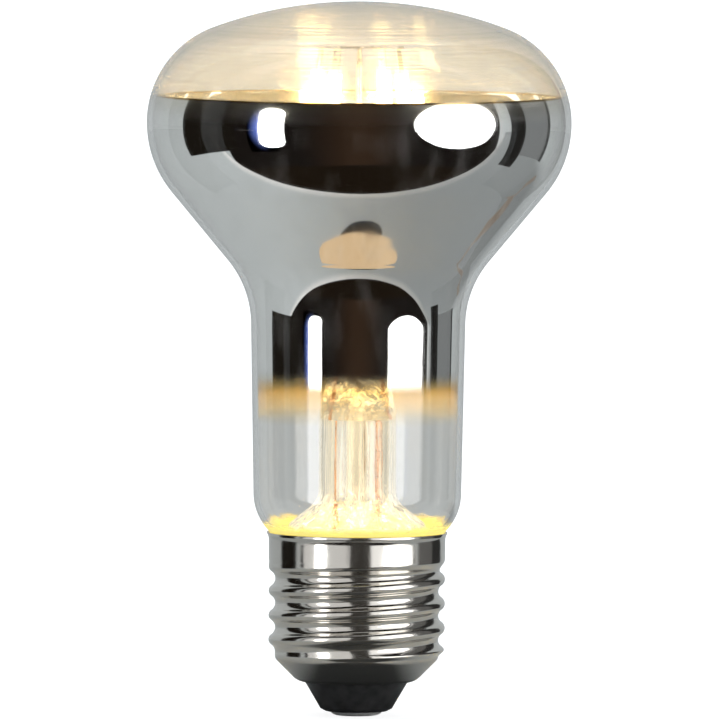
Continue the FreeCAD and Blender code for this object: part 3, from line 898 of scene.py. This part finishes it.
# flat panels that face the axis: a corner of 0 makes an oval
softboxes = {
    "leftSoftbox": {
        "azimuth": -49.0, "distance": 0.9, "width": 0.25,
        "low": -0.21, "high": 0.43, "corner": 0.1, "strength": 4.2, "lights": "all"},
    "rightSoftbox": {
        "azimuth": 55.0, "distance": 0.9, "width": 0.84,
        "low": -0.22, "high": 0.56, "corner": 0, "strength": 3.0, "lights": "all"},
    "capSoftboxLeft": {
        "azimuth": -41.5, "distance": 1.1, "width": 1.8,
        "low": -0.25, "high": 1.1, "corner": 0.1, "strength": 0.78, "lights": "cap"},
    "capSoftboxRight": {
        "azimuth": 46.0, "distance": 1.1, "width": 1.5,
        "low": -0.25, "high": 1.1, "corner": 0.1, "strength": 1.25, "lights": "cap"},
}
# patches on the table, each bent round an arc: distance from the lamp's axis to its middle,
# radius of the arc, half its spread in degrees and half its depth
# the warm patch is a painted pool of the lamp's light on the table
warmLightPool = {
    "across": 0.0, "distance": 0.0303, "bend": 0.055, "halfSpread": 31.0, "halfDepth": 0.0034,
    "height": 0.001, "colour": (0.72, 0.5, 0.29, 1), "mottle": (0.77, 0.56, 0.34, 1), "mottleScale": 420.0}
darkSpot = {
    "across": 0.0013, "distance": 0.0338, "bend": 0.045, "halfSpread": 19.0, "halfDepth": 0.0014,
    "height": 0.0005, "colour": (0.02, 0.02, 0.02, 1), "mottle": (0.03, 0.03, 0.03, 1), "mottleScale": 420.0}
# a fine crease in the table's cover, on its right, drawn as a dark line of painted shade: across, back and
# width
crease = {
    "points": [
        (0.037, 0.0, 0.0025), (0.04, 0.008, 0.0025), (0.047, 0.012, 0.003), (0.05, 0.022, 0.003),
        (0.058, 0.028, 0.004), (0.067, 0.043, 0.005), (0.082, 0.052, 0.006), (0.096, 0.078, 0.008),
        (0.122, 0.09, 0.011), (0.15, 0.125, 0.014)],
    "height": 0.0005, "colour": (0.2, 0.15, 0.11, 1), "mottle": (0.36, 0.33, 0.3, 1), "mottleScale": 300.0}
# the bluish rim of light beside the left softbox
halo = {
    "azimuth": -55.0, "distance": 0.95, "width": 0.3, "low": -0.3, "high": 0.5,
    "colour": (0.16, 0.24, 0.75, 1), "fade": (0.2, 1.0)}


def addStage(bm, name, material):
    mesh = bpy.data.meshes.new(name)
    bm.to_mesh(mesh)
    bm.free()
    mesh.materials.append(material)
    stage = bpy.data.objects.new(name, mesh)
    bpy.context.scene.collection.objects.link(stage)
    return stage


def showIn(material, share, shader):
    # the shader where share is 1, and nothing at all where it is 0
    clear = addNode(material, "ShaderNodeBsdfTransparent")
    showSurface(material, mixShaders(material, share, clear.outputs["BSDF"], shader))


def addSheet(name, material, halfWidth, front, back, height=0.0):
    bm = bmesh.new()
    corners = ((-halfWidth, front), (halfWidth, front), (halfWidth, back), (-halfWidth, back))
    bm.faces.new([bm.verts.new((x, y, height)) for x, y in corners])
    return addStage(bm, name, material)


def tablePaintedShade(material, light, parts):
    # how light the table is to the film and to the cap: painted shade, and a painted shadow of the lamp
    # beneath the cap that lightens beside it
    across = rangeNode(material, parts["X"], table["shadeAcross"], (1.0, table["shade"]), smooth=True)
    behind = rangeNode(material, parts["Y"], table["shadeBack"], smooth=True)
    paintedShadeToFilm = mathNode(material, "MAXIMUM", across, behind)
    reach = lengthOf(material, objectPlace(material))
    shadowNearCap = rangeNode(material, reach, table["paintedShadowNearCap"], table["capSeesTable"], smooth=True)
    beside = rangeNode(
        material, mathNode(material, "ABSOLUTE", parts["X"]), table["capSides"],
        (0.0, table["capSideLevel"]), smooth=True)
    paintedShadeToCap = mathNode(material, "MAXIMUM", shadowNearCap, beside)
    return mixNode(material, "FLOAT", seenBy(material, light, "cap"), paintedShadeToFilm, paintedShadeToCap)


def makeTable(name, front, back, shownInMetal):
    # white to the camera, and in the metal a pale grey with painted shade, brighter towards its front edge
    material = newFinish(name, {
        "Roughness": table["roughness"], "Specular IOR Level": table["shine"]})
    light = addNode(material, "ShaderNodeLightPath")
    parts = objectParts(material)
    ends = (table["edge"], table["edge"] + table["brightDepth"])
    atEdge = rangeNode(material, parts["Y"], ends, (1.0, 0.0), smooth=True)
    tone = mixNode(material, "RGBA", atEdge, table["grey"], table["bright"])
    shaded = addNode(material, "ShaderNodeVectorMath", {"operation": "SCALE"})
    joinSockets(material, tone, shaded.inputs[0])
    joinSockets(material, tablePaintedShade(material, light, parts), shaded.inputs["Scale"])
    joinSockets(material, shaded.outputs["Vector"], shaderOf(material).inputs["Base Color"])
    white = addNode(material, "ShaderNodeEmission")
    strength = mathNode(material, "MULTIPLY", light.outputs["Is Camera Ray"], table["whiteForCamera"])
    joinSockets(material, strength, white.inputs["Strength"])
    both = addNode(material, "ShaderNodeAddShader")
    joinSockets(material, shaderOf(material).outputs["BSDF"], both.inputs[0])
    joinSockets(material, white.outputs["Emission"], both.inputs[1])
    if shownInMetal:
        showSurface(material, both.outputs["Shader"])
    else:
        straight = mathNode(material, "LESS_THAN", light.outputs["Glossy Depth"], bounced)
        showIn(material, straight, both.outputs["Shader"])
    addSheet(name, material, table["reach"], front, back)


def seenBy(material, light, pieces):
    # 1 in a reflection of the given kind: in the film behind the glass, in the cap, or in both
    reflected = mathNode(material, "GREATER_THAN", light.outputs["Glossy Depth"], bounced)
    if pieces == "all":
        return reflected
    kind = "GREATER_THAN" if pieces == "glass" else "LESS_THAN"
    behindGlass = mathNode(material, kind, light.outputs["Transmission Depth"], bounced)
    return mathNode(material, "MULTIPLY", reflected, behindGlass)


def reflectedFinish(name, colour, pieces="all", grey=None):
    # its own colour shows only in the metal and the glass; straight through the glass it is grey
    material = newFinish(name, {})
    light = addNode(material, "ShaderNodeLightPath")
    reflected = seenBy(material, light, pieces)
    glow = addNode(material, "ShaderNodeEmission", inputs={"Color": colour})
    shown = reflected
    if grey:
        joinSockets(material, mixNode(material, "RGBA", reflected, grey, colour), glow.inputs["Color"])
        shown = mathNode(material, "MAXIMUM", reflected, light.outputs["Is Transmission Ray"])
    showIn(material, shown, glow.outputs["Emission"])
    return material


def glowOf(material):
    return next(node for node in material.node_tree.nodes if node.type == "EMISSION")


def mottleGlow(material, look):
    # the emission's colour wanders between two tones
    noise = addNoise(material, look["mottleScale"]).outputs["Fac"]
    spread = rangeNode(material, noise, studio["mottleSpread"])
    tone = mixNode(material, "RGBA", spread, look["colour"], look["mottle"])
    joinSockets(material, tone, glowOf(material).inputs["Color"])


def warmMiddle(material, side, middle, reach):
    # the board's colour warms towards the middle, where the lamp's own light falls on it
    across = mathNode(material, "ABSOLUTE", objectParts(material)["X"])
    away = rangeNode(material, across, (0.0, reach), smooth=True)
    joinSockets(material, mixNode(material, "RGBA", away, middle, side), glowOf(material).inputs["Color"])


def hideFromLight(stage):
    stage.visible_camera = False
    stage.visible_diffuse = False
    stage.visible_shadow = False


def makeBoard(name, start, end, radius, low, high, colour, pieces):
    # part of a round wall about the lamp; angles run from the camera's side to the right
    bm = bmesh.new()
    turn = math.radians(start) - math.pi / 2
    foot = bm.verts.new((radius * math.cos(turn), radius * math.sin(turn), low))
    top = bm.verts.new((radius * math.cos(turn), radius * math.sin(turn), high))
    edge = bm.edges.new((foot, top))
    bmesh.ops.spin(
        bm, geom=[foot, top, edge], cent=(0, 0, 0), axis=(0, 0, 1), dvec=(0, 0, 0),
        angle=math.radians(end - start), steps=studio["boardSteps"], use_merge=False,
        use_normal_flip=False, use_duplicate=False)
    finish = reflectedFinish(name, colour, pieces, studio["surroundGrey"] if pieces == "all" else None)
    if name == "warmBoard":
        warmMiddle(finish, colour, studio["boardWarm"], studio["warmReach"])
    hideFromLight(addStage(bm, name, finish))


def makeDarkGround(colour, height):
    reach = studio["groundReach"]
    finish = reflectedFinish("darkGround", colour)
    hideFromLight(addSheet("darkGround", finish, reach, -reach, table["edge"], height))


def makeSpot(name, look):
    # a patch on the table that the mirror shows
    bm = bmesh.new()
    bmesh.ops.create_circle(bm, cap_ends=True, segments=studio["ovalSegments"], radius=1)
    for vert in bm.verts:
        turn = math.radians(vert.co.x * look["halfSpread"])
        radius = look["bend"] + vert.co.y * look["halfDepth"]
        vert.co = (
            look["across"] + radius * math.sin(turn),
            look["bend"] - look["distance"] - radius * math.cos(turn), look["height"])
    finish = reflectedFinish(name, look["colour"], "glass")
    mottleGlow(finish, look)
    hideFromLight(addStage(bm, name, finish))


def makeCrease(look):
    bm = bmesh.new()
    last = None
    for x, y, width in look["points"]:
        here = [bm.verts.new((x + side * width / 2, y, look["height"])) for side in (-1, 1)]
        if last:
            bm.faces.new((last[0], last[1], here[1], here[0]))
        last = here
    # the crease is a dark strip of painted shade
    finish = reflectedFinish("crease", look["colour"], "glass")
    mottleGlow(finish, look)
    hideFromLight(addStage(bm, "crease", finish))


def standPanel(panel, look):
    # upright, facing the lamp's axis
    turn = math.radians(look["azimuth"])
    middle = (look["high"] + look["low"]) / 2
    panel.location = (look["distance"] * math.sin(turn), -look["distance"] * math.cos(turn), middle)
    towards = Vector((0, 0, middle)) - panel.location
    panel.rotation_mode = "QUATERNION"
    panel.rotation_quaternion = towards.to_track_quat("-Z", "Y")


def makeHalo(look):
    # a soft bluish patch that fades away from its middle
    tall = look["high"] - look["low"]
    bm = bmesh.new()
    bmesh.ops.create_grid(bm, x_segments=1, y_segments=1, size=0.5)
    bmesh.ops.scale(bm, vec=(look["width"], tall, 1), verts=bm.verts[:])
    material = reflectedFinish("halo", look["colour"], "glass")
    placing = addNode(material, "ShaderNodeMapping", inputs={"Scale": (2 / look["width"], 2 / tall, 0)})
    joinSockets(material, objectPlace(material), placing.inputs["Vector"])
    away = lengthOf(material, placing.outputs["Vector"])
    fade = rangeNode(material, away, look["fade"], (1.0, 0.0), smooth=True)
    joinSockets(material, fade, glowOf(material).inputs["Strength"])
    panel = addStage(bm, "halo", material)
    standPanel(panel, look)
    hideFromLight(panel)


def makeSoftbox(name, look, lit=None):
    # a flat panel with rounded corners, or an oval with none, that faces the lamp; one that lights
    # chosen pieces alone is clear to what comes through the glass
    bm = bmesh.new()
    if look["corner"] > 0:
        bmesh.ops.create_grid(bm, x_segments=1, y_segments=1, size=0.5)
    else:
        bmesh.ops.create_circle(bm, cap_ends=True, segments=studio["ovalSegments"], radius=0.5)
    bmesh.ops.scale(bm, vec=(look["width"], look["high"] - look["low"], 1), verts=bm.verts[:])
    if look["corner"] > 0:
        bmesh.ops.bevel(
            bm, geom=bm.verts[:], offset=look["corner"], segments=studio["cornerSegments"],
            profile=0.5, affect="VERTICES", material=-1)
    material = newFinish(name, {})
    glow = addNode(material, "ShaderNodeEmission", inputs={"Strength": look["strength"]})
    if lit:
        light = addNode(material, "ShaderNodeLightPath")
        outside = mathNode(material, "LESS_THAN", light.outputs["Transmission Depth"], bounced)
        showIn(material, outside, glow.outputs["Emission"])
    else:
        showSurface(material, glow.outputs["Emission"])
    panel = addStage(bm, name, material)
    standPanel(panel, look)
    panel.visible_camera = False
    if lit:
        receivers = bpy.data.collections.new(name + "Lights")
        for piece in lit:
            receivers.objects.link(piece)
        panel.light_linking.receiver_collection = receivers


def setWorld():
    # full strength to the camera, the metal and the glass, and dimmer as light on the lamp
    world = bpy.data.worlds.new("paleRoom")
    world.use_nodes = True
    bpy.context.scene.world = world
    light = addNode(world, "ShaderNodeLightPath")
    seen = mathNode(world, "MAXIMUM", light.outputs["Is Camera Ray"], light.outputs["Is Glossy Ray"])
    either = mathNode(world, "MAXIMUM", seen, light.outputs["Is Transmission Ray"])
    background = world.node_tree.nodes["Background"]
    background.inputs["Color"].default_value = studio["worldColour"]
    level = rangeNode(world, either, (0.0, 1.0), (studio["worldDim"], studio["worldBright"]))
    joinSockets(world, level, background.inputs["Strength"])


setWorld()
makeTable("table", table["edge"], table["reach"], True)
makeTable("tableFront", -table["reach"], table["edge"], False)
for name, look in boards.items():
    makeBoard(name, *look)
makeDarkGround(studio["groundDark"], studio["groundHeight"])
makeSpot("darkSpot", darkSpot)
# a painted pool of the lamp's light on the table
makeSpot("warmLightPool", warmLightPool)
makeCrease(crease)
makeHalo(halo)
for name, look in softboxes.items():
    makeSoftbox(name, look, [capShell] if look["lights"] == "cap" else None)
print("studio set")
